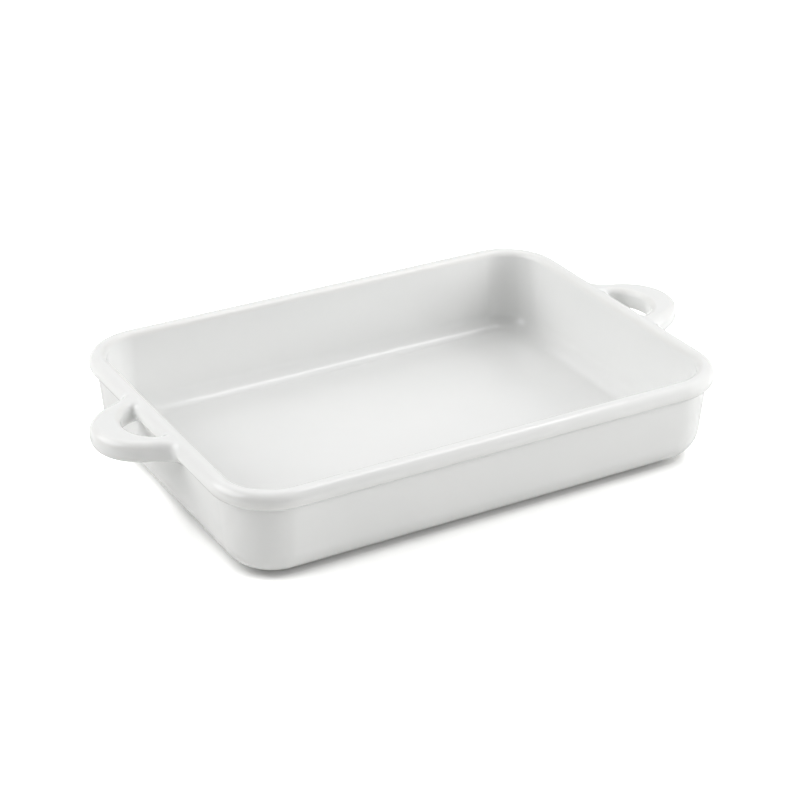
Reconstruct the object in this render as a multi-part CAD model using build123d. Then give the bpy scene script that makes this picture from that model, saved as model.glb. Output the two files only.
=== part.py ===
from build123d import *
from math import acos, cos, degrees, radians, sin, tan
import os

# Oblong stoneware oven dish for lasagna: a flat floor, four walls that lean out a little,
# a thick rolled rim that overhangs them, a bare foot ring and two loop handles.
# Millimetres. +X runs along the dish from handle to handle, +Y to the back, +Z up.
# The origin is the middle of the footprint, at the surface the dish stands on.

# Outer line of the rim in plan, and the height from the table to the rim.
rim_length = 350.0
rim_width = 253.5
dish_height = 64.0
corner_radius = 40.0

# The rolled rim, from its outer line inwards and from its top down.
rim_thickness = 11.5
bead_top_radius = 6.2
bead_under_radius = 5.4
bead_inner_radius = 4.5

# The undercut below the roll, and the rounding where it meets the wall.
neck_depth = 5.0
neck_radius = 2.0

# Walls and floor. The draft is an angle from the upright, in degrees.
wall_draft = 5.0
heel_radius = 19.0
floor_radius = 12.0
floor_thickness = 6.0

# The ground ring under the floor.
foot_height = 2.5
foot_width = 6.0
foot_margin = 0.8
foot_bevel = 0.8

# The loop handles: ovals in plan, each drawn about a centre a little inside the rim.
handle_reach = 35.4
handle_half_span = 34.0
handle_thickness = 14.0
handle_drop = 0.3
tip_width = 19.9
arm_width = 11.3
loop_inset = 2.5
flare_radius = 24.0
root_bury = 1.0
handle_edge_radius = 5.5
hole_edge_radius = 4.0

# An oval is drawn with a tip arc and two side arcs that meet at this angle, in degrees.
oval_turn = 45.0

# The most of a wall's width that one rounded edge may take.
rounding_share = 0.49

# How far a cutting form runs past the face that it cuts.
overrun = 2.0

# Every section turns about these corner axes and runs straight between them.
axis_x = rim_length / 2 - corner_radius
axis_y = rim_width / 2 - corner_radius


def carry_round(section):
    """Carry a section, drawn outwards from a corner axis, round the rounded oblong."""
    corner = revolve(section, axis=Axis.Z, revolution_arc=90)
    end = extrude(section, amount=axis_y, dir=(0, -1, 0))
    side = extrude(section.rotate(Axis.Z, 90), amount=axis_x, dir=(-1, 0, 0))
    low = section.bounding_box().min.Z
    height = section.bounding_box().size.Z
    core = Box(axis_x, axis_y, height, align=(Align.MAX, Align.MAX, Align.MIN))
    quarter = Pos(axis_x, axis_y, 0) * (corner + end + side + Pos(0, 0, low) * core)
    half = quarter + quarter.mirror(Plane.YZ)
    return half + half.mirror(Plane.XZ)


# The slope of the walls, inside and outside.
draft_slope = tan(radians(wall_draft))
draft_sine = sin(radians(wall_draft))
draft_cosine = cos(radians(wall_draft))

# The roll's underside turns back by this angle before the rounding leads into the wall.
neck_run = bead_under_radius + neck_radius
neck_lean = (bead_under_radius - neck_depth + neck_radius * draft_cosine) / neck_run
neck_turn = degrees(acos(neck_lean))

# Outer side of the section: under the floor, round the heel, up the wall, through the
# undercut and round the roll to the top of the rim.
neck_drop = neck_run * sin(radians(neck_turn)) - neck_radius * draft_sine
neck_height = dish_height - bead_top_radius - neck_drop
heel_top = foot_height + heel_radius * (1 - draft_sine)
wall_run = (neck_height - heel_top) / draft_cosine

with BuildLine(Plane.XZ) as outer_line:
    top = Line((0, dish_height), (corner_radius - bead_top_radius, dish_height))
    roll = JernArc(top @ 1, top % 1, bead_top_radius, -90)
    under = JernArc(roll @ 1, roll % 1, bead_under_radius, -neck_turn)
    neck = JernArc(under @ 1, under % 1, neck_radius, neck_turn - wall_draft)
    wall = PolarLine(neck @ 1, wall_run, direction=neck % 1)
    heel = JernArc(wall @ 1, wall % 1, heel_radius, wall_draft - 90)
    Polyline(heel @ 1, (0, foot_height), (0, dish_height))
outer_form = carry_round(make_face(outer_line.line))

# Inner side of the section: along the floor, up the wall and over to the top of the rim.
rim_inside = corner_radius - rim_thickness
inside_top = dish_height - bead_inner_radius * (1 - draft_sine)
inside_edge = rim_inside + bead_inner_radius * draft_cosine
floor_top = foot_height + floor_thickness
fillet_top = floor_top + floor_radius * (1 - draft_sine)
fillet_edge = rim_inside - (inside_top - fillet_top) * draft_slope

with BuildLine(Plane.XZ) as inner_line:
    floor = Line((0, floor_top), (fillet_edge - floor_radius * draft_cosine, floor_top))
    fillet_arc = JernArc(floor @ 1, floor % 1, floor_radius, 90 - wall_draft)
    inside = Line(fillet_arc @ 1, (rim_inside, inside_top))
    lip = JernArc(inside @ 1, inside % 1, bead_inner_radius, wall_draft - 90)
    Polyline(
        lip @ 1,
        (inside_edge, dish_height + overrun),
        (0, dish_height + overrun),
        (0, floor_top),
    )
inner_form = carry_round(make_face(inner_line.line))

# The rim is rolled on above the top of the wall, the walls and floor are below it.
dish = outer_form - inner_form
neck_plane = Plane.XY.offset(neck_height)
rim_bead = split(dish, neck_plane, keep=Keep.TOP)
dish_body = split(dish, neck_plane, keep=Keep.BOTTOM)

# The foot ring follows the outline of the floor just inside the heel's curve.
heel_inset = corner_radius - (heel @ 1).X
foot_inset = heel_inset + foot_margin
foot_radius = max(corner_radius - foot_inset, foot_width)
foot_inner_radius = max(foot_radius - foot_width, 2 * foot_bevel)
foot_length = rim_length - 2 * foot_inset
foot_breadth = rim_width - 2 * foot_inset
foot_plan = RectangleRounded(foot_length, foot_breadth, foot_radius) - RectangleRounded(
    foot_length - 2 * foot_width, foot_breadth - 2 * foot_width, foot_inner_radius
)
foot_ring = extrude(foot_plan, amount=foot_height)
foot_ring = chamfer(foot_ring.edges().group_by(Axis.Z)[0], foot_bevel)

# A handle is a loop with rounded edges. Its arms flare into the roll of the rim, and the
# dish's own outer form trims them, so each root seats on the roll and on the wall.
loop_centre = rim_length / 2 - loop_inset
root_face = rim_length / 2 - neck_depth - root_bury
handle_top = dish_height - handle_drop
hole_half_span = handle_half_span - arm_width


def oval_radii(reach, half_span):
    """Give the tip and side radii of the oval that has this reach and half span."""
    turn_sine = sin(radians(oval_turn))
    turn_cosine = cos(radians(oval_turn))
    spread = (reach - half_span) / (turn_sine + turn_cosine - 1)
    return reach - spread * turn_cosine, half_span + spread * turn_sine


loop_reach = handle_reach + loop_inset
tip_radius, side_radius = oval_radii(loop_reach, handle_half_span)
flare_lean = (root_face + flare_radius - loop_centre) / (side_radius + flare_radius)
flare_turn = degrees(acos(flare_lean))
flare_rise = (side_radius + flare_radius) * sin(radians(flare_turn))
root_half_span = handle_half_span - side_radius + flare_rise

with BuildLine() as loop_line:
    back = Line((root_face - loop_reach, root_half_span), (root_face, root_half_span))
    flare_in = JernArc(back @ 1, (0, -1), flare_radius, flare_turn)
    side_in = JernArc(flare_in @ 1, flare_in % 1, side_radius, oval_turn - flare_turn)
    tip = JernArc(side_in @ 1, side_in % 1, tip_radius, -2 * oval_turn)
    side_out = JernArc(tip @ 1, tip % 1, side_radius, oval_turn - flare_turn)
    flare_out = JernArc(side_out @ 1, side_out % 1, flare_radius, flare_turn)
    Polyline(flare_out @ 1, (root_face - loop_reach, -root_half_span), back @ 0)

hole_reach = loop_reach - tip_width
hole_tip_radius, hole_side_radius = oval_radii(hole_reach, hole_half_span)
hole_start = (loop_centre, hole_half_span)
with BuildLine() as hole_line:
    right_in = JernArc(hole_start, (1, 0), hole_side_radius, oval_turn - 90)
    right = JernArc(right_in @ 1, right_in % 1, hole_tip_radius, -2 * oval_turn)
    lower = JernArc(right @ 1, right % 1, hole_side_radius, 2 * oval_turn - 180)
    left = JernArc(lower @ 1, lower % 1, hole_tip_radius, -2 * oval_turn)
    JernArc(left @ 1, left % 1, hole_side_radius, oval_turn - 90)

plan = make_face(loop_line.line) - make_face(hole_line.line)
loop = extrude(Pos(0, 0, handle_top - handle_thickness) * plan, amount=handle_thickness)
thinnest = min(handle_thickness, arm_width, tip_width)
faces = loop.faces().sort_by(Axis.Z)
outer_edges = faces[0].outer_wire().edges() + faces[-1].outer_wire().edges()
free_edges = outer_edges.filter_by(lambda edge: edge.center().X > root_face)
loop = fillet(free_edges, min(handle_edge_radius, rounding_share * thinnest))
faces = loop.faces().sort_by(Axis.Z)
hole_edges = faces[0].inner_wires()[0].edges() + faces[-1].inner_wires()[0].edges()
loop = fillet(hole_edges, min(hole_edge_radius, rounding_share * thinnest))

handle_right = loop - outer_form
handle_left = handle_right.mirror(Plane.YZ)

os.makedirs("parts", exist_ok=True)
for name, piece in (
    ("dish_body", dish_body),
    ("rim_bead", rim_bead),
    ("foot_ring", foot_ring),
    ("handle_left", handle_left),
    ("handle_right", handle_right),
):
    export_step(piece, f"parts/{name}.step")
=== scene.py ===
import logging
import math
from dataclasses import dataclass, field
from enum import Enum

import bpy
import numpy as np
from mathutils import Matrix


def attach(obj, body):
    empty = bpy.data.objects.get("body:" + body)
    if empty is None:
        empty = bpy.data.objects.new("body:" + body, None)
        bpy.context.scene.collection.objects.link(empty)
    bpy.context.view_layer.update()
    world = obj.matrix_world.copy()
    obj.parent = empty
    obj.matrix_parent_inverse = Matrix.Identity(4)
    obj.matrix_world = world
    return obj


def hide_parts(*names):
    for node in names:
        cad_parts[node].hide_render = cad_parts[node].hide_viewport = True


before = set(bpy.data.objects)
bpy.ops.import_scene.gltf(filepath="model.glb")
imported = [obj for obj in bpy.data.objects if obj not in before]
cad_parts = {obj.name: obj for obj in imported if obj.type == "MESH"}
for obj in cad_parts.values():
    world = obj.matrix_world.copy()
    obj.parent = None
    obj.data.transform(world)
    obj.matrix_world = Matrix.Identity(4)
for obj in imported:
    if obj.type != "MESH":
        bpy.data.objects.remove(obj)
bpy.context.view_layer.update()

MM = 0.001

# The range of a noise or a yes-or-no socket.
WHOLE = (0.0, 1.0)

# The point attribute that tells the glaze how the surface bends.
BEND_LAYER = "glaze_bend"

# How far a skin runs on inside the other one, in millimetres.
BURY = 1.8

Array = np.ndarray
Pair = tuple[float, float]
Tree = bpy.types.NodeTree
Socket = bpy.types.NodeSocket

log = logging.getLogger("lasagna_dish")


class End(Enum):
    """The end of the dish that carries a handle, as the sign of its X."""

    LEFT = -1
    RIGHT = 1


class Skin(Enum):
    """Which of the two grids of the glazed surface a point belongs to."""

    DISH = "dish"
    HANDLE = "handle"


def to_linear(code: str) -> tuple[float, float, float, float]:
    """Turn an sRGB hex colour into the linear colour that a shader socket takes.

    Args:
        code: The colour as a hash sign and six hex digits.

    Returns:
        Linear red, green and blue, and an alpha of one.
    """
    share = np.array([int(code[i : i + 2], 16) for i in (1, 3, 5)]) / 255
    linear = np.where(share <= 0.04045, share / 12.92, ((share + 0.055) / 1.055) ** 2.4)
    return (*map(float, linear), 1.0)


def add_node(
    tree: Tree, kind: str, sockets: dict | None = None, **settings: object
) -> bpy.types.Node:
    """Add one node with its settings, and fill its sockets with values or links.

    Args:
        tree: The node tree of a material or the world.
        kind: The node's type name.
        sockets: Socket name or number to a value or to the output that feeds it.
        settings: Properties of the node.

    Returns:
        The new node.
    """
    node = tree.nodes.new(kind)
    for name, value in settings.items():
        setattr(node, name, value)
    for socket, value in (sockets or {}).items():
        if isinstance(value, Socket):
            tree.links.new(value, node.inputs[socket])
        else:
            node.inputs[socket].default_value = value
    return node


def start_material(name: str) -> tuple[bpy.types.Material, Tree, Socket]:
    """Make an empty node material with this name.

    Args:
        name: Name of the material.

    Returns:
        The material, its node tree, and a socket with each point's object coordinates.
    """
    material = bpy.data.materials.new(name)
    material.use_nodes = True
    tree = material.node_tree
    tree.nodes.clear()
    return material, tree, add_node(tree, "ShaderNodeTexCoord").outputs["Object"]


def add_noise(tree: Tree, place: Socket, size_mm: float, detail: float) -> Socket:
    """Add a noise whose clouds are this size, with this many finer octaves on top."""
    sockets = {"Vector": place, "Scale": 1 / (size_mm * MM), "Detail": detail}
    return add_node(tree, "ShaderNodeTexNoise", sockets).outputs["Fac"]


def add_mix(
    tree: Tree, share: Socket, first: str | float | Socket, second: str | float | Socket
) -> Socket:
    """Mix two colours or two numbers.

    Args:
        tree: The node tree of a material or the world.
        share: Share of the second one.
        first: Hex code, number or socket at a share of zero.
        second: Hex code, number or socket at a share of one.

    Returns:
        The mixed colour, or the mixed number where neither is a colour.
    """
    ends = [to_linear(end) if isinstance(end, str) else end for end in (first, second)]
    sockets = {"Factor": share, "A": ends[0], "B": ends[1]}
    kind = "RGBA" if str in (type(first), type(second)) else "FLOAT"
    return add_node(tree, "ShaderNodeMix", sockets, data_type=kind).outputs["Result"]


def add_range(
    tree: Tree, value: Socket, ends: Pair, results: Pair, smooth: bool = False
) -> Socket:
    """Carry a value from one range to another, held to its ends.

    Args:
        tree: The node tree of a material or the world.
        value: The value to carry over.
        ends: The values at both ends of the range.
        results: What comes out at those ends.
        smooth: Whether the change eases in and out.

    Returns:
        The value in the new range.
    """
    sockets = {
        "Value": value, "From Min": ends[0], "From Max": ends[1],
        "To Min": results[0], "To Max": results[1],
    }
    kind = "SMOOTHSTEP" if smooth else "LINEAR"
    node = add_node(tree, "ShaderNodeMapRange", sockets, interpolation_type=kind)
    return node.outputs["Result"]


def add_bump(
    tree: Tree,
    height: Socket,
    strength: float,
    depth_mm: float,
    under: Socket | None = None,
) -> Socket:
    """Add relief from a height.

    Args:
        tree: The node tree of a material.
        height: The height, from zero to one.
        strength: How strongly the relief shows.
        depth_mm: How deep a height of one is, in millimetres.
        under: The normal of a relief that this one lies on, if any.

    Returns:
        The normal.
    """
    sockets = {"Height": height, "Strength": strength, "Distance": depth_mm * MM}
    if under is not None:
        sockets["Normal"] = under
    return add_node(tree, "ShaderNodeBump", sockets).outputs["Normal"]


def add_higher(tree: Tree, first: Socket, second: Socket) -> Socket:
    """Give the higher of two numbers."""
    node = add_node(tree, "ShaderNodeMath", {0: first, 1: second}, operation="MAXIMUM")
    return node.outputs["Value"]


def make_piece(
    name: str, points: Array, faces: list[Array], normals: Array
) -> bpy.types.Object:
    """Put a grid's points, faces and normals into a smooth mesh object at the origin.

    Args:
        name: Name of the piece.
        points: Vertex places in millimetres, one row each.
        faces: Arrays of vertex numbers, one array for the quads and one for triangles.
        normals: Unit normals, one row for each vertex.

    Returns:
        The new object, linked to the scene.
    """
    mesh = bpy.data.meshes.new(name)
    rows = [row for block in faces for row in block.tolist()]
    mesh.from_pydata(points * MM, [], rows)
    mesh.shade_smooth()
    mesh.normals_split_custom_set_from_vertices(normals)
    mesh.validate()
    piece = bpy.data.objects.new(name, mesh)
    bpy.context.scene.collection.objects.link(piece)
    return piece


def grid_faces(rows: int, columns: int) -> Array:
    """Give the quads of a grid of vertices whose last column joins the first.

    Args:
        rows: Number of rows.
        columns: Number of vertices in each row.

    Returns:
        One row of four vertex numbers for each quad.
    """
    row, column = np.meshgrid(np.arange(rows - 1), np.arange(columns), indexing="ij")
    here = (row * columns + column).ravel()
    beside = (row * columns + (column + 1) % columns).ravel()
    return np.column_stack([here, beside, beside + columns, here + columns])


@dataclass(frozen=True)
class DishSizes:
    """Driving sizes of the dish in millimetres and degrees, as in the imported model.

    Two are the glaze's alone: how wide it rounds a handle's root into the rim, and a
    tiny turn that keeps the loop's outline smooth at the root.
    """

    rim_length: float = 350.0
    rim_width: float = 253.5
    dish_height: float = 64.0
    corner_radius: float = 40.0
    rim_thickness: float = 11.5
    bead_top_radius: float = 6.2
    bead_under_radius: float = 5.4
    bead_inner_radius: float = 4.5
    neck_depth: float = 5.0
    neck_radius: float = 2.0
    wall_draft: float = 5.0
    heel_radius: float = 19.0
    floor_radius: float = 12.0
    floor_thickness: float = 6.0
    foot_height: float = 2.5
    handle_reach: float = 35.4
    handle_half_span: float = 34.0
    handle_thickness: float = 14.0
    handle_drop: float = 0.3
    tip_width: float = 19.9
    arm_width: float = 11.3
    loop_inset: float = 2.5
    flare_radius: float = 24.0
    root_bury: float = 1.0
    handle_edge_radius: float = 5.5
    hole_edge_radius: float = 4.0
    oval_turn: float = 45.0
    root_glaze: float = 4.0
    root_turn_radius: float = 0.05

    @property
    def axis_x(self) -> float:
        """Distance of the corner axes from the middle along X."""
        return self.rim_length / 2 - self.corner_radius

    @property
    def axis_y(self) -> float:
        """Distance of the corner axes from the middle along Y."""
        return self.rim_width / 2 - self.corner_radius

    @property
    def loop_centre(self) -> float:
        """X of the centre that the handle's ovals are drawn about."""
        return self.rim_length / 2 - self.loop_inset

    @property
    def root_face(self) -> float:
        """X of the flat face at which a handle ends inside the rim."""
        return self.rim_length / 2 - self.neck_depth - self.root_bury

    @property
    def floor_top(self) -> float:
        """Height of the cooking surface."""
        return self.foot_height + self.floor_thickness

    def oval_radii(self, reach: float, half_span: float) -> Pair:
        """Give the radii of an oval's arcs.

        Args:
            reach: Distance of the oval's tip from its centre.
            half_span: Half of its width.

        Returns:
            The radii at the tip and at the side.
        """
        turn = math.radians(self.oval_turn)
        sine, cosine = math.sin(turn), math.cos(turn)
        spread = (reach - half_span) / (sine + cosine - 1)
        return reach - spread * cosine, half_span + spread * sine


@dataclass(frozen=True)
class Chain:
    """A smooth plane curve of runs that each bend evenly, with the air on its left.

    A run is a length and a turn in radians, and starts where the one before it ends. A
    turn of zero is a straight run. Over a length s with a turn d, the curve moves by a
    chord of s sin(d/2) / (d/2) along the mean of its first and last heading.
    """

    start: Pair
    heading: float
    runs: tuple[Pair, ...]

    @staticmethod
    def arc(radius: float, degrees: float) -> Pair:
        """Give the run that turns by these degrees at this radius, left if positive."""
        return radius * math.radians(abs(degrees)), math.radians(degrees)

    def table(self) -> tuple[Array, Array, Array, Array]:
        """Lay the runs end to end.

        Returns:
            The start, heading, length and turn of every run.
        """
        lengths, turns = np.array(self.runs).T
        headings = self.heading + np.concatenate(([0.0], np.cumsum(turns)[:-1]))
        chords, middle = lengths * np.sinc(turns / 2 / np.pi), headings + turns / 2
        steps = chords[:, None] * np.column_stack([np.cos(middle), np.sin(middle)])
        shifts = np.concatenate((np.zeros((1, 2)), np.cumsum(steps, axis=0)[:-1]))
        return shifts + self.start, headings, lengths, turns

    def spot(self, run: Array, step: Array) -> tuple[Array, Array]:
        """Give points and left normals at distances along numbered runs.

        Args:
            run: Number of the run of each point.
            step: Distance of each point from the start of its run.

        Returns:
            Points and unit normals, one row each.
        """
        starts, headings, lengths, turns = self.table()
        bend = step * turns[run] / lengths[run]
        middle, last = headings[run] + bend / 2, headings[run] + bend
        chord = step * np.sinc(bend / 2 / np.pi)
        way = np.column_stack([np.cos(middle), np.sin(middle)])
        normals = np.column_stack([-np.sin(last), np.cos(last)])
        return starts[run] + chord[:, None] * way, normals

    def trace(self, along: Array) -> tuple[Array, Array]:
        """Give points and left normals at distances along the whole curve.

        Args:
            along: Distances from the start of the curve.

        Returns:
            Points and unit normals, one row each.
        """
        edges = np.concatenate(([0.0], np.cumsum([length for length, _ in self.runs])))
        run = np.searchsorted(edges, along, side="right") - 1
        run = np.clip(run, 0, len(self.runs) - 1)
        return self.spot(run, along - edges[run])

    def sample(self, counts: tuple[int, ...]) -> tuple[Array, Array]:
        """Give points and normals at even steps along each run, and at the end.

        Args:
            counts: Number of steps on each run.

        Returns:
            Points and unit normals, one row each.
        """
        run = np.repeat(np.arange(len(counts)), counts)
        part = np.concatenate([np.arange(count) / count for count in counts])
        lengths = np.array([length for length, _ in self.runs])
        points, normals = self.spot(run, part * lengths[run])
        last_point, last_normal = self.spot(np.array([len(counts) - 1]), lengths[-1:])
        return np.vstack([points, last_point]), np.vstack([normals, last_normal])

    def distance(self, points: Array) -> tuple[Array, Array]:
        """Give the signed distance of points from the curve, positive on its air side.

        The nearest place on a straight run is the point's projection, held to the run's
        ends. On a bent run it is at the angle of the point seen from the run's centre,
        held to the run's turn. The nearest run of all counts.

        Args:
            points: Places in the plane, one row each.

        Returns:
            Signed distances, and the curve's unit normal at each nearest place.
        """
        starts, headings, lengths, turns = self.table()
        best = np.full(len(points), np.inf)
        signed, normal = np.zeros(len(points)), np.zeros((len(points), 2))
        for run in range(len(self.runs)):
            along = np.array([math.cos(headings[run]), math.sin(headings[run])])
            if turns[run] == 0:
                step = (points - starts[run]) @ along
            else:
                radius = lengths[run] / turns[run]
                seen = points - starts[run] - radius * np.array([-along[1], along[0]])
                seen = seen * np.sign(radius)
                half = turns[run] / 2
                angle = np.arctan2(seen[:, 0], -seen[:, 1]) - headings[run] - half
                angle = (angle + np.pi) % (2 * np.pi) - np.pi + half
                step = angle * radius
            step = np.clip(step, 0, lengths[run])
            place, outward = self.spot(np.full(len(points), run), step)
            gap = points - place
            away = np.hypot(gap[:, 0], gap[:, 1])
            nearer = away < best
            best = np.where(nearer, away, best)
            side = np.where((gap * outward).sum(axis=1) < 0, -away, away)
            signed = np.where(nearer, side, signed)
            normal = np.where(nearer[:, None], outward, normal)
        return signed, normal


@dataclass(frozen=True)
class DishSection:
    """The dish's section: first outwards from a corner axis, second upwards."""

    sizes: DishSizes

    def chain(self) -> Chain:
        """Run from the floor up the inside, over the rim, down the outside and under.

        Returns:
            Floor, floor rounding, inside wall, lip, top of the rim, outer roll, under
            roll, undercut, outside wall, heel and underside, in that order.
        """
        s = self.sizes
        draft = math.radians(s.wall_draft)
        sine, cosine = math.sin(draft), math.cos(draft)
        reach = s.bead_under_radius + s.neck_radius
        lean = s.bead_under_radius - s.neck_depth + s.neck_radius * cosine
        neck_angle = math.acos(lean / reach)
        neck_turn = math.degrees(neck_angle)
        neck_drop = reach * math.sin(neck_angle) - s.neck_radius * sine
        wall_top = s.dish_height - s.bead_top_radius - neck_drop
        heel_top = s.foot_height + s.heel_radius * (1 - sine)
        rim_inside = s.corner_radius - s.rim_thickness
        inside_top = s.dish_height - s.bead_inner_radius * (1 - sine)
        fillet_top = s.floor_top + s.floor_radius * (1 - sine)
        fillet_edge = rim_inside - (inside_top - fillet_top) * math.tan(draft)
        floor_end = fillet_edge - s.floor_radius * cosine
        wall_end = s.corner_radius - s.neck_depth
        wall_end -= (wall_top - heel_top) * math.tan(draft)
        heel_end = wall_end - s.heel_radius * cosine
        top_start = rim_inside + s.bead_inner_radius * cosine
        turn = 90 - s.wall_draft
        return Chain(
            (-s.axis_y, s.floor_top),
            0.0,
            (
                (s.axis_y + floor_end, 0.0),
                Chain.arc(s.floor_radius, turn),
                ((inside_top - fillet_top) / cosine, 0.0),
                Chain.arc(s.bead_inner_radius, -turn),
                (s.corner_radius - s.bead_top_radius - top_start, 0.0),
                Chain.arc(s.bead_top_radius, -90),
                Chain.arc(s.bead_under_radius, -neck_turn),
                Chain.arc(s.neck_radius, neck_turn - s.wall_draft),
                ((wall_top - heel_top) / cosine, 0.0),
                Chain.arc(s.heel_radius, -turn),
                (s.axis_y + heel_end, 0.0),
            ),
        )


@dataclass(frozen=True)
class LoopPlan:
    """The plan of the right handle for Y above zero, in the X and Y of the dish."""

    sizes: DishSizes

    def outline(self) -> Chain:
        """Come out of the dish, turn at the root, flare and go round to the tip.

        Returns:
            The loop's outer outline.
        """
        s = self.sizes
        tip, side = s.oval_radii(s.handle_reach + s.loop_inset, s.handle_half_span)
        reach = side + s.flare_radius
        lean = (s.root_face + s.flare_radius - s.loop_centre) / reach
        flare_turn = math.degrees(math.acos(lean))
        root_half_span = s.handle_half_span - side + reach * math.sin(math.acos(lean))
        start = s.root_face - s.rim_width - s.root_turn_radius
        return Chain(
            (start, root_half_span + s.root_turn_radius),
            0.0,
            (
                (s.rim_width, 0.0),
                Chain.arc(s.root_turn_radius, -90),
                Chain.arc(s.flare_radius, flare_turn),
                Chain.arc(side, s.oval_turn - flare_turn),
                Chain.arc(tip, -s.oval_turn),
            ),
        )

    def hole(self) -> Chain:
        """Go from the hole's tip round its side to the point inside the rim.

        Returns:
            The outline of the hole.
        """
        s = self.sizes
        reach = s.handle_reach + s.loop_inset - s.tip_width
        tip, side = s.oval_radii(reach, s.handle_half_span - s.arm_width)
        return Chain(
            (s.loop_centre + reach, 0.0),
            math.pi / 2,
            (
                Chain.arc(tip, s.oval_turn),
                Chain.arc(side, 180 - 2 * s.oval_turn),
                Chain.arc(tip, s.oval_turn),
            ),
        )


@dataclass(frozen=True)
class GlazedSurface:
    """The one glazed surface of dish and handles, as a height above it at any point.

    The dish's height a is the distance from its section. A handle's height b is that of
    a plate cut by its outline and its hole, with rounded edges. The two are joined by a
    smooth least value: the lesser of a and b, less (k - |a - b|) squared over 4k where
    they differ by less than k. k is the root's rounding times the square root of one
    less the cosine between both slopes, so that level surfaces join without a bulge,
    and it fades to nothing at the handle's root face inside the rim.
    """

    sizes: DishSizes
    sink: float = 0.05
    fade: float = 0.6
    least_rounding: float = 0.01
    least_slope: float = 0.2
    longest_step: float = 1.0
    rounds: int = 8
    bend_reach: float = 1.6

    def over_dish(self, points: Array) -> tuple[Array, Array]:
        """Give heights above the dish alone, and their slopes.

        Args:
            points: Places in millimetres, one row each.

        Returns:
            Heights, and unit slopes, one row each.
        """
        past = np.abs(points[:, :2]) - (self.sizes.axis_x, self.sizes.axis_y)
        beyond = np.clip(past, 0, None)
        out = np.hypot(beyond[:, 0], beyond[:, 1])
        inside = out == 0
        nearer_x = (past[:, 0] > past[:, 1])[:, None]
        inward = np.where(nearer_x, [1.0, 0.0], [0.0, 1.0])
        away = beyond / np.where(inside, 1, out)[:, None]
        away = np.where(inside[:, None], inward, away)
        away = away * np.where(points[:, :2] < 0, -1, 1)
        out = np.where(inside, past.max(axis=1), out)
        place = np.column_stack([out, points[:, 2]])
        height, normal = DishSection(self.sizes).chain().distance(place)
        return height, np.column_stack([away * normal[:, :1], normal[:, 1]])

    def over_handle(self, points: Array) -> tuple[Array, Array]:
        """Give heights above the handles alone, and their slopes.

        Args:
            points: Places in millimetres, one row each.

        Returns:
            Heights, and unit slopes, one row each.
        """
        s = self.sizes
        plan = LoopPlan(s)
        flat = np.abs(points[:, :2])
        middle = s.dish_height - s.handle_drop - s.handle_thickness / 2
        over = np.abs(points[:, 2] - middle) - s.handle_thickness / 2
        zero = np.zeros(len(points))
        upward = np.where(points[:, 2] < middle, -1.0, 1.0)
        upright = np.column_stack([zero, zero, upward])
        height = s.root_face - flat[:, 0]
        slope = np.column_stack([zero - 1, zero, zero])
        for chain, radius in (
            (plan.outline(), s.handle_edge_radius),
            (plan.hole(), s.hole_edge_radius),
        ):
            beside, normal = chain.distance(flat)
            level = np.column_stack([normal, zero])
            first, second = beside + radius, over + radius
            both = (first > 0) & (second > 0)
            corner = np.hypot(np.clip(first, 0, None), np.clip(second, 0, None))
            rounded = np.minimum(np.maximum(first, second), 0) + corner - radius
            mixed = first[:, None] * level + second[:, None] * upright
            mixed = mixed / np.where(corner == 0, 1, corner)[:, None]
            single = np.where((first > second)[:, None], level, upright)
            turned = np.where(both[:, None], mixed, single)
            higher = rounded > height
            slope = np.where(higher[:, None], turned, slope)
            height = np.where(higher, rounded, height)
        slope[:, :2] *= np.where(points[:, :2] < 0, -1, 1)
        return height, slope

    def over_both(self, points: Array) -> tuple[Array, Array, Array, Array]:
        """Give heights above the joined surface.

        Args:
            points: Places in millimetres, one row each.

        Returns:
            Heights, their slopes, and the heights above the dish and the handles alone.
        """
        s = self.sizes
        dish, dish_slope = self.over_dish(points)
        handle, handle_slope = self.over_handle(points)
        cosine = (dish_slope * handle_slope).sum(axis=1)
        past_root = (np.abs(points[:, 0]) - s.root_face) / (2 * s.root_bury)
        k = s.root_glaze * np.sqrt(np.clip(1 - cosine, 0, 1)) * np.clip(past_root, 0, 1)
        k = np.maximum(k, self.least_rounding)
        near = np.clip(1 - np.abs(dish - handle) / k, 0, None)
        height = np.minimum(dish, handle) - near**2 * k / 4
        share = np.where(dish < handle, 1 - near / 2, near / 2)[:, None]
        slope = share * dish_slope + (1 - share) * handle_slope
        return height, slope, dish, handle

    def settle(self, points: Array, skin: Skin) -> tuple[Array, Array]:
        """Move points along the slope until they lie on the joined surface.

        Where the other skin takes over, a skin dips a little under it instead.

        Args:
            points: Places in millimetres near the surface, one row each.
            skin: The grid that the points belong to.

        Returns:
            The moved points and their unit normals.
        """
        points = points.copy()
        for _ in range(self.rounds):
            height, slope, dish, handle = self.over_both(points)
            behind = dish - handle if skin is Skin.DISH else handle - dish
            part = np.clip(behind / self.fade, 0, 1)
            height = height + self.sink * part**2 * (3 - 2 * part)
            steepness = np.clip((slope**2).sum(axis=1), self.least_slope, None)
            step = np.clip(height / steepness, -self.longest_step, self.longest_step)
            points -= step[:, None] * slope
        slope = self.over_both(points)[1]
        return points, slope / np.linalg.norm(slope, axis=1)[:, None]

    def bend(self, points: Array) -> Array:
        """Tell how the surface bends at each point.

        The sum of the heights at six places around a point along the axes, less six
        times its own height, over the square of their distance from it.

        Args:
            points: Places in millimetres, one row each.

        Returns:
            The bend of each point, above zero at edges and below zero in hollows.
        """
        shifts = np.vstack([np.eye(3), -np.eye(3)]) * self.bend_reach
        around = sum(self.over_both(points + shift)[0] for shift in shifts)
        return (around - len(shifts) * self.over_both(points)[0]) / self.bend_reach**2


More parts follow.
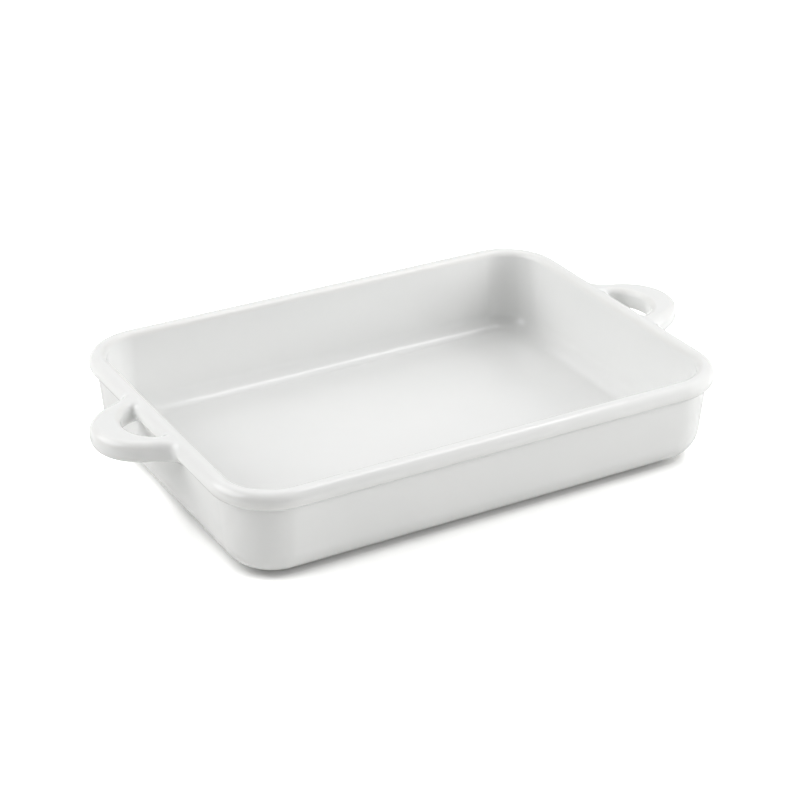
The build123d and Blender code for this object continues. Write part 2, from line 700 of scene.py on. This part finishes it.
def add_bend(piece: bpy.types.Object, bend: Array) -> None:
    """Store the bend of the surface on the piece's points, for the glaze to read."""
    layer = piece.data.attributes.new(BEND_LAYER, "FLOAT", "POINT")
    layer.data.foreach_set("value", bend.astype(np.float32))


@dataclass(frozen=True)
class WhiteGlaze:
    """Glossy opaque white stoneware glaze, dipped and fired.

    To the eye it is a soft white with a clear shine. It drains thin over edges, where
    the warmer clay shows through a little, and gathers cooler in hollows. Its skin is
    faintly wavy, so long reflections wander.
    """

    name: str = "glossy_white_stoneware_glaze"
    plain: str = "#ECECEB"
    drift: str = "#E7E8E7"
    thin: str = "#EAE7E0"
    pooled: str = "#E1E4E2"
    ior: float = 1.53
    drift_mm: float = 70.0
    drift_detail: float = 2.0
    edge_bend: Pair = (0.12, 0.42)
    edge_share: Pair = (0.0, 0.55)
    hollow_bend: Pair = (-0.05, -0.5)
    hollow_share: Pair = (0.0, 0.8)
    gloss: Pair = (0.07, 0.17)
    wave_mm: float = 24.0
    wave_detail: float = 3.0
    wave_strength: float = 0.35
    wave_depth_mm: float = 0.4
    peel_mm: float = 3.5
    peel_detail: float = 1.0
    peel_strength: float = 0.2
    peel_depth_mm: float = 0.04

    def make(self) -> bpy.types.Material:
        """Build the material.

        Returns:
            The finished material.
        """
        material, tree, place = start_material(self.name)
        # The tone drifts over a hand's breadth, as the coat is thicker in places.
        drift = add_noise(tree, place, self.drift_mm, self.drift_detail)
        body = add_mix(tree, drift, self.plain, self.drift)
        # Edges show the warm clay through a thin coat, hollows hold a cooler pool.
        bend = add_node(
            tree, "ShaderNodeAttribute",
            attribute_name=BEND_LAYER, attribute_type="GEOMETRY",
        ).outputs["Fac"]
        edge = add_range(tree, bend, self.edge_bend, self.edge_share, smooth=True)
        thinned = add_mix(tree, edge, body, self.thin)
        hollow = add_range(tree, bend, self.hollow_bend, self.hollow_share, smooth=True)
        coat = add_mix(tree, hollow, thinned, self.pooled)
        # The shine varies a little with how the glaze cooled.
        wave_noise = add_noise(tree, place, self.wave_mm, self.wave_detail)
        gloss = add_range(tree, wave_noise, WHOLE, self.gloss)
        # Long low waves from dipping, and the fine orange peel of the fired skin. The
        # real peel is about 1 mm across, too fine to show, so it is drawn coarser.
        wave = add_bump(tree, wave_noise, self.wave_strength, self.wave_depth_mm)
        skin = add_noise(tree, place, self.peel_mm, self.peel_detail)
        peel = add_bump(tree, skin, self.peel_strength, self.peel_depth_mm, wave)
        shader = add_node(
            tree, "ShaderNodeBsdfPrincipled",
            {"Base Color": coat, "Roughness": gloss, "IOR": self.ior, "Normal": peel},
        )
        add_node(tree, "ShaderNodeOutputMaterial", {"Surface": shader.outputs["BSDF"]})
        return material


@dataclass(frozen=True)
class BareStoneware:
    """Fired clay left bare and ground level on the foot ring.

    To the eye it is a dull buff with fine sand in it, slightly darker where the
    grinding opened the grain.
    """

    name: str = "bare_ground_stoneware"
    clay: str = "#DDD5C6"
    sand: str = "#BFB29C"
    worn: str = "#CFC5B4"
    ior: float = 1.5
    sand_mm: float = 0.8
    grain_edge: Pair = (0.1, 0.35)
    grain_share: Pair = (0.8, 0.0)
    grain_strength: float = 0.5
    grain_depth_mm: float = 0.1
    wear_mm: float = 14.0
    wear_detail: float = 4.0
    dullness: Pair = (0.78, 0.95)

    def make(self) -> bpy.types.Material:
        """Build the material.

        Returns:
            The finished material.
        """
        material, tree, place = start_material(self.name)
        # Sand grains are 0.3 mm in the clay and are drawn coarser, so that they show.
        grain = add_node(
            tree, "ShaderNodeTexVoronoi",
            {"Vector": place, "Scale": 1 / (self.sand_mm * MM)},
        ).outputs["Distance"]
        dot = add_range(tree, grain, self.grain_edge, self.grain_share)
        # Grinding wore some patches more than others, which are darker and duller.
        wear = add_noise(tree, place, self.wear_mm, self.wear_detail)
        clay = add_mix(tree, wear, self.clay, self.worn)
        mixed = add_mix(tree, dot, clay, self.sand)
        dull = add_range(tree, wear, WHOLE, self.dullness)
        rough = add_bump(tree, grain, self.grain_strength, self.grain_depth_mm)
        shader = add_node(
            tree, "ShaderNodeBsdfPrincipled",
            {"Base Color": mixed, "Roughness": dull, "IOR": self.ior, "Normal": rough},
        )
        add_node(tree, "ShaderNodeOutputMaterial", {"Surface": shader.outputs["BSDF"]})
        return material


@dataclass(frozen=True)
class WhiteCard:
    """Matt white card under the dish.

    To the eye it is plain white with a faint mottle, and it holds a soft shadow. Seen
    directly or in the glaze it is lifted to the white of the backdrop. Seen directly,
    the strip beside the dish is lifted less, so it is painted darker than the rest: a
    painted shade that deepens the shadow there.
    """

    sizes: DishSizes
    name: str = "matt_white_card"
    sheet: str = "#F3F3F2"
    mottle: str = "#F0F0EF"
    mottle_mm: float = 45.0
    mottle_detail: float = 3.0
    dullness: Pair = (0.85, 0.95)
    lift: float = 1.8
    # No lift up to the first distance from the dish and full lift past the second: the
    # strip beside the dish is painted shade.
    painted_shade_full_to_mm: float = 20.0
    painted_shade_gone_at_mm: float = 30.0
    mirrored_lift: float = 1.2

    def away(self, tree: Tree, place: Socket) -> Socket:
        """Measure how far a point is from the oblong that joins the four corner axes.

        Args:
            tree: The node tree of the material.
            place: The point's object coordinates.

        Returns:
            The distance in metres.
        """
        corner = (self.sizes.axis_x * MM, self.sizes.axis_y * MM, 0.0)
        kind, zero = "ShaderNodeVectorMath", (0.0, 0.0, 0.0)
        node = add_node(tree, kind, {0: place}, operation="ABSOLUTE")
        for operation, other in (("SUBTRACT", corner), ("MAXIMUM", zero)):
            sockets = {0: node.outputs["Vector"], 1: other}
            node = add_node(tree, kind, sockets, operation=operation)
        node = add_node(tree, kind, {0: node.outputs["Vector"]}, operation="LENGTH")
        return node.outputs["Value"]

    def make(self) -> bpy.types.Material:
        """Build the material.

        Returns:
            The finished material.
        """
        material, tree, place = start_material(self.name)
        cloud = add_noise(tree, place, self.mottle_mm, self.mottle_detail)
        tone = add_mix(tree, cloud, self.sheet, self.mottle)
        dull = add_range(tree, cloud, WHOLE, self.dullness)
        # The eye sees the lift grow with the distance from the dish, so the strip
        # beside the dish is painted darker, a painted shade; the glaze mirrors an even
        # lift.
        away = self.away(tree, place)
        ends = (self.painted_shade_full_to_mm * MM, self.painted_shade_gone_at_mm * MM)
        seen = add_range(tree, away, ends, (1.0, self.lift), smooth=True)
        path = add_node(tree, "ShaderNodeLightPath").outputs
        glassy = add_higher(tree, path["Is Glossy Ray"], path["Is Transmission Ray"])
        unseen = add_range(tree, glassy, WHOLE, (1.0, self.mirrored_lift))
        lift = add_mix(tree, path["Is Camera Ray"], unseen, seen)
        shown = add_node(
            tree, "ShaderNodeVectorMath", {0: tone, "Scale": lift}, operation="SCALE"
        )
        card = add_node(
            tree, "ShaderNodeBsdfDiffuse",
            {"Color": shown.outputs["Vector"], "Roughness": dull},
        )
        add_node(tree, "ShaderNodeOutputMaterial", {"Surface": card.outputs["BSDF"]})
        return material


@dataclass
class GlazedSkin:
    """What the skins of the dish and of a handle share."""

    sizes: DishSizes
    surface: GlazedSurface
    piece: bpy.types.Object = field(init=False)

    def open_quads(self, quads: Array, height: Array) -> Array:
        """Leave out the quads that lie too deep in the other piece to be seen."""
        return quads[(height[quads] > -BURY).any(axis=1)]

    def dress(self, glaze: bpy.types.Material) -> None:
        """Give the skin its glaze."""
        self.piece.data.materials.append(glaze)


@dataclass
class GlazedDish(GlazedSkin):
    """The dish's glazed skin: walls, floor, rolled rim, undercut and underside."""

    name: str = "dish_glaze"
    profile_counts: tuple[int, ...] = (1, 16, 12, 11, 2, 18, 14, 8, 28, 18, 1)
    fine_half_span: float = 55.0
    fine_step: float = 0.85
    coarse_step: float = 3.0
    settle_margin: float = 1.0
    corner_count: int = 26
    side_count: int = 44
    flat_shares: tuple[float, ...] = (0.2, 0.4, 0.6, 0.75, 0.87, 0.95)

    def stations(self) -> tuple[Array, Array]:
        """Go round the oblong that joins the corner axes, finest beside the handles.

        Returns:
            Places and outward directions up the right end, round its corner, along the
            back and so on round to the front, one row each.
        """
        ax, ay = self.sizes.axis_x, self.sizes.axis_y
        near = self.fine_half_span
        fine = int(2 * near / self.fine_step)
        rest = int((ay - near) / self.coarse_step)
        end = np.concatenate([
            np.linspace(-ay, -near, rest, endpoint=False),
            np.linspace(-near, near, fine, endpoint=False),
            np.linspace(near, ay, rest, endpoint=False),
        ])
        side = np.linspace(ax, -ax, self.side_count, endpoint=False)
        sweep = np.linspace(0, np.pi / 2, self.corner_count, endpoint=False)
        still = np.zeros_like
        half_bases = np.concatenate([
            np.column_stack([still(end) + ax, end]),
            np.column_stack([still(sweep) + ax, still(sweep) + ay]),
            np.column_stack([side, still(side) + ay]),
            np.column_stack([still(sweep) - ax, still(sweep) + ay]),
        ])
        angles = np.concatenate([
            still(end), sweep, still(side) + np.pi / 2, sweep + np.pi / 2
        ])
        half_ways = np.column_stack([np.cos(angles), np.sin(angles)])
        return np.vstack([half_bases, -half_bases]), np.vstack([half_ways, -half_ways])

    def build(self) -> bpy.types.Object:
        """Carry the section round the rounded oblong and close both flats to a point.

        A point is the station plus its outward direction times the section's first
        value, at the height of the section's second. Over floor and underside, the ring
        at the end of the section is scaled towards the middle.

        Returns:
            The finished piece.
        """
        bases, ways = self.stations()
        section = DishSection(self.sizes).chain().sample(self.profile_counts)[0][1:-1]
        rings = np.concatenate([
            bases[None] + section[:, None, :1] * ways[None],
            np.broadcast_to(section[:, None, 1:], (len(section), len(bases), 1)),
        ], axis=2)
        shares = np.array(self.flat_shares)[:, None, None]
        shrink = np.concatenate([shares, shares, np.ones_like(shares)], axis=2)
        floor, under = rings[:1] * shrink, rings[-1:] * shrink[::-1]
        grid = np.concatenate([floor, rings, under])
        rows, columns = grid.shape[:2]
        poles = [[0.0, 0.0, floor[0, 0, 2]], [0.0, 0.0, under[0, 0, 2]]]
        points = np.vstack([grid.reshape(-1, 3), poles])

        handle = self.surface.over_handle(points)[0]
        normals = self.surface.over_dish(points)[1]
        near = handle < self.sizes.root_glaze + self.settle_margin
        points[near], normals[near] = self.surface.settle(points[near], Skin.DISH)

        quads = self.open_quads(grid_faces(rows, columns), handle)
        around = np.arange(columns)
        after = np.roll(around, -1)
        last = (rows - 1) * columns
        top, bottom = (np.full(columns, len(points) - back) for back in (2, 1))
        caps = np.concatenate([
            np.column_stack([top, after, around]),
            np.column_stack([bottom, last + around, last + after]),
        ])
        kept = np.concatenate([quads.ravel(), caps.ravel()])
        used, renumbered = np.unique(kept, return_inverse=True)
        quads = renumbered[: quads.size].reshape(-1, 4)
        caps = renumbered[quads.size :].reshape(-1, 3)
        self.piece = make_piece(
            self.name, points[used], [quads[:, ::-1], caps[:, ::-1]], normals[used]
        )
        add_bend(self.piece, self.surface.bend(points[used]))
        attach(self.piece, "root")
        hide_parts("dish_body", "rim_bead")
        return self.piece


@dataclass
class LoopHandle(GlazedSkin):
    """One loop handle's glazed skin, from the roots in the rim to the tip."""

    end: End
    loop_count: int = 240
    arc_count: int = 12
    flat_count: int = 12
    side_count: int = 4

    def section(self, width: Array) -> tuple[Array, Array]:
        """Give the arm's rounded section at each width, from the hole side outwards.

        A closed ring of quarter arcs and straight flats, counterclockwise from the
        lower end of the outer side, with the smaller rounding on the hole side.

        Args:
            width: Width of the arm at each station.

        Returns:
            Distances from the hole side and heights above the arm's underside, with one
            row for each station and one column for each point of the ring.
        """
        s = self.sizes
        outer, inner = s.handle_edge_radius, s.hole_edge_radius
        thick, wide = s.handle_thickness, width[:, None]
        turn = np.linspace(0, np.pi / 2, self.arc_count, endpoint=False)
        flat = np.linspace(0, 1, self.flat_count, endpoint=False)
        side = np.linspace(0, 1, self.side_count, endpoint=False)
        span, still = wide - outer - inner, 0 * wide
        across = np.concatenate([
            wide + 0 * side,
            wide - outer + outer * np.cos(turn),
            inner + span * (1 - flat),
            still + inner - inner * np.sin(turn),
            still + 0 * side,
            still + inner - inner * np.cos(turn),
            inner + span * flat,
            wide - outer + outer * np.sin(turn),
        ], axis=1)
        up = np.concatenate([
            outer + (thick - 2 * outer) * side,
            thick - outer + outer * np.sin(turn),
            thick + 0 * flat,
            thick - inner + inner * np.cos(turn),
            thick - inner - (thick - 2 * inner) * side,
            inner - inner * np.sin(turn),
            0 * flat,
            outer - outer * np.cos(turn),
        ])
        return across, np.broadcast_to(up, across.shape)

    def build(self) -> bpy.types.Object:
        """Carry the section along the loop between the hole's and the outer outline.

        A point lies on the straight line from the hole's outline to the outer outline,
        at the section's distance across and height, and is then settled on the glazed
        surface, which rounds the roots into the rim.

        Returns:
            The finished piece.
        """
        s = self.sizes
        plan = LoopPlan(s)
        outline, hole = plan.outline(), plan.hole()
        half = np.linspace(0, 1, self.loop_count // 2 + 1)
        length = sum(run[0] for run in outline.runs)
        root = outline.runs[0][0] + outline.runs[1][0]
        outer = outline.trace(root + half * (length - root))[0]
        hole_root = hole.runs[0][0] + hole.runs[1][0] / 2 + s.loop_centre - s.root_face
        inner = hole.trace((1 - half) * hole_root)[0]
        mirror = np.array([1, -1])
        outer = np.vstack([outer, outer[-2::-1] * mirror])
        inner = np.vstack([inner, inner[-2::-1] * mirror])
        width = np.linalg.norm(outer - inner, axis=1)
        across, up = self.section(width)
        part = (across / width[:, None])[:, :, None]
        flat = inner[:, None] * (1 - part) + outer[:, None] * part
        bottom = s.dish_height - s.handle_drop - s.handle_thickness
        grid = np.concatenate([flat, (bottom + up)[:, :, None]], axis=2)
        rows, columns = grid.shape[:2]
        points = grid.reshape(-1, 3)

        dish = self.surface.over_dish(points)[0]
        quads = self.open_quads(grid_faces(rows, columns), dish)
        used, renumbered = np.unique(quads, return_inverse=True)
        quads = renumbered.reshape(-1, 4)
        points, normals = self.surface.settle(points[used], Skin.HANDLE)
        bend = self.surface.bend(points)
        if self.end is End.LEFT:
            quads = quads[:, ::-1]
        side = np.array([self.end.value, 1, 1])
        name = f"handle_{self.end.name.lower()}"
        self.piece = make_piece(f"{name}_glaze", points * side, [quads], normals * side)
        add_bend(self.piece, bend)
        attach(self.piece, "root")
        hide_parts(name)
        return self.piece


@dataclass
class FootRing:
    """The bare ring that the dish stands on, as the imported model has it."""

    node: str = "foot_ring"

    def dress(self, stoneware: bpy.types.Material) -> None:
        """Put the bare stoneware on every material slot of the ring."""
        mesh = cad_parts[self.node].data
        if not mesh.materials:
            mesh.materials.append(stoneware)
        for number in range(len(mesh.materials)):
            mesh.materials[number] = stoneware


@dataclass(frozen=True)
class Softbox:
    """A soft lamp: its place and size in metres, and its light.

    The glaze mirrors only the lamps whose reflections the photograph shows, as if the
    others shone through a polariser.
    """

    name: str
    place: tuple[float, float, float]
    size: Pair
    watts: float
    mirrored: bool = True


@dataclass
class Studio:
    """The card under the dish, the backdrop's white, the lamps and the camera."""

    card_radius: float = 1.4
    card_rings: int = 4
    card_count: int = 64
    backdrop: str = "#FFFFFF"
    world_light: float = 0.024
    mirrored_white: float = 0.8
    open_front: float = 0.2
    front_to_back: Pair = (-0.7, 0.1)
    lamp_aim: tuple[float, float, float] = (0.0, 0.0, 0.04)
    azimuth: float = -29.50
    elevation: float = 26.93
    target: Pair = (0.03161, 0.05572)
    away: float = 1.43327
    focus_px: float = 2105.70
    image_px: float = 800.0
    sensor_mm: float = 36.0
    clip: Pair = (0.01, 50.0)
    lamps: tuple[Softbox, ...] = (
        Softbox("window_back_left", (-1.058, 1.26, 0.99), (2.2, 1.4), 13.5, False),
        Softbox("window_left", (-1.308, 0.476, 1.011), (1.6, 1.2), 17.8),
        Softbox("lamp_right_front", (1.394, -0.871, 0.772), (1.2, 1.2), 22.5, False),
        Softbox("lamp_right_top", (1.2, -0.2, 1.3), (1.0, 1.0), 2.5),
        Softbox("lamp_back_top", (0.139, 0.786, 1.541), (1.5, 1.5), 4.8),
        Softbox("lamp_front_top", (0.414, -1.274, 1.087), (1.4, 1.2), 5.6, False),
        Softbox("lamp_small_top", (0.66, -0.07, 1.45), (0.45, 0.45), 2.4),
    )

    def build_floor(self, card: bpy.types.Material) -> None:
        """Lay a round card.

        A point is at r (cos a, sin a, 0), for even steps of the radius r and the angle
        a, and the innermost ring closes to a point in the middle.

        Args:
            card: The card's material.
        """
        count = self.card_count
        radius = np.arange(1, self.card_rings + 1) / self.card_rings * self.card_radius
        angle = np.linspace(0, 2 * np.pi, count, endpoint=False)
        rim = np.column_stack([np.cos(angle), np.sin(angle), np.zeros(count)])
        points = (radius[:, None, None] * rim[None]).reshape(-1, 3)
        points = np.vstack([points, np.zeros((1, 3))]) / MM
        around = np.arange(count)
        centre = np.full(count, len(points) - 1)
        middle = np.column_stack([centre, around, np.roll(around, -1)])
        quads = grid_faces(self.card_rings, count)[:, ::-1]
        up = np.tile([0.0, 0.0, 1.0], (len(points), 1))
        floor = make_piece("card_floor", points, [quads, middle], up)
        floor.data.materials.append(card)

    def build_world(self) -> None:
        """Fill the room with even light and show it as white around the dish.

        In the glaze the white dims towards the front, where a studio is open: it eases
        down with how far a direction leans away from the backdrop.
        """
        world = bpy.data.worlds.new("white_room")
        bpy.context.scene.world = world
        world.use_nodes = True
        tree = world.node_tree
        tree.nodes.clear()
        path = add_node(tree, "ShaderNodeLightPath").outputs
        way = add_node(tree, "ShaderNodeTexCoord").outputs["Generated"]
        turn = math.radians(self.azimuth)
        lean = add_node(
            tree, "ShaderNodeVectorMath",
            {0: way, 1: (-math.sin(turn), math.cos(turn), 0.0)},
            operation="DOT_PRODUCT",
        ).outputs["Value"]
        whites = (self.open_front, self.mirrored_white)
        mirrored = add_range(tree, lean, self.front_to_back, whites, smooth=True)
        unseen = add_mix(tree, path["Is Glossy Ray"], self.world_light, mirrored)
        clear = add_higher(tree, path["Is Camera Ray"], path["Is Transmission Ray"])
        strength = add_mix(tree, clear, unseen, 1.0)
        back = add_node(
            tree, "ShaderNodeBackground",
            {"Color": to_linear(self.backdrop), "Strength": strength},
        )
        add_node(tree, "ShaderNodeOutputWorld", {"Surface": back.outputs["Background"]})

    def build_lamps(self) -> None:
        """Hang the soft lamps and turn each towards the middle of the dish."""
        for softbox in self.lamps:
            light = bpy.data.lights.new(softbox.name, "AREA")
            light.shape, light.energy = "RECTANGLE", softbox.watts
            light.size, light.size_y = softbox.size
            lamp = bpy.data.objects.new(softbox.name, light)
            lamp.visible_glossy = softbox.mirrored
            bpy.context.scene.collection.objects.link(lamp)
            place = np.array(softbox.place)
            lamp.matrix_world = self.facing(place, place - self.lamp_aim)

    def build_camera(self) -> None:
        """Stand the camera where the photograph's outlines say it stood."""
        a, e = math.radians(self.azimuth), math.radians(self.elevation)
        level = math.cos(e)
        back = np.array([math.sin(a) * level, -math.cos(a) * level, math.sin(e)])
        lens = bpy.data.cameras.new("photo_camera")
        lens.sensor_width = self.sensor_mm
        lens.lens = self.focus_px * lens.sensor_width / self.image_px
        lens.clip_start, lens.clip_end = self.clip
        camera = bpy.data.objects.new("photo_camera", lens)
        bpy.context.scene.collection.objects.link(camera)
        place = np.array([*self.target, 0.0]) + back * self.away
        camera.matrix_world = self.facing(place, back)
        bpy.context.scene.camera = camera

    @staticmethod
    def facing(place: Array, back: Array) -> Matrix:
        """Give the upright pose of a camera or lamp.

        Args:
            place: Where it stands, in metres.
            back: The direction it looks away from.

        Returns:
            The pose as a world matrix.
        """
        back = back / np.linalg.norm(back)
        right = np.cross([0.0, 0.0, 1.0], back)
        right = right / np.linalg.norm(right)
        up = np.cross(back, right)
        pose = np.eye(4)
        pose[:3, 0], pose[:3, 1], pose[:3, 2], pose[:3, 3] = right, up, back, place
        return Matrix(pose.tolist())


def main() -> None:
    """Build the studio and the dish in order, and report each piece."""
    logging.basicConfig(level=logging.INFO, format="%(name)s: %(message)s")
    bpy.context.scene.view_settings.view_transform = "Standard"
    sizes = DishSizes()
    surface = GlazedSurface(sizes)
    glaze, stoneware = WhiteGlaze().make(), BareStoneware().make()

    studio = Studio()
    studio.build_camera()
    studio.build_floor(WhiteCard(sizes).make())
    studio.build_world()
    studio.build_lamps()

    skins = [GlazedDish(sizes, surface)]
    skins += [LoopHandle(sizes, surface, end) for end in End]
    for skin in skins:
        piece = skin.build()
        skin.dress(glaze)
        log.info("%s: %d faces", piece.name, len(piece.data.polygons))
    FootRing().dress(stoneware)
    log.info("foot_ring: packed node in %s", stoneware.name)


if __name__ == "__main__":
    main()
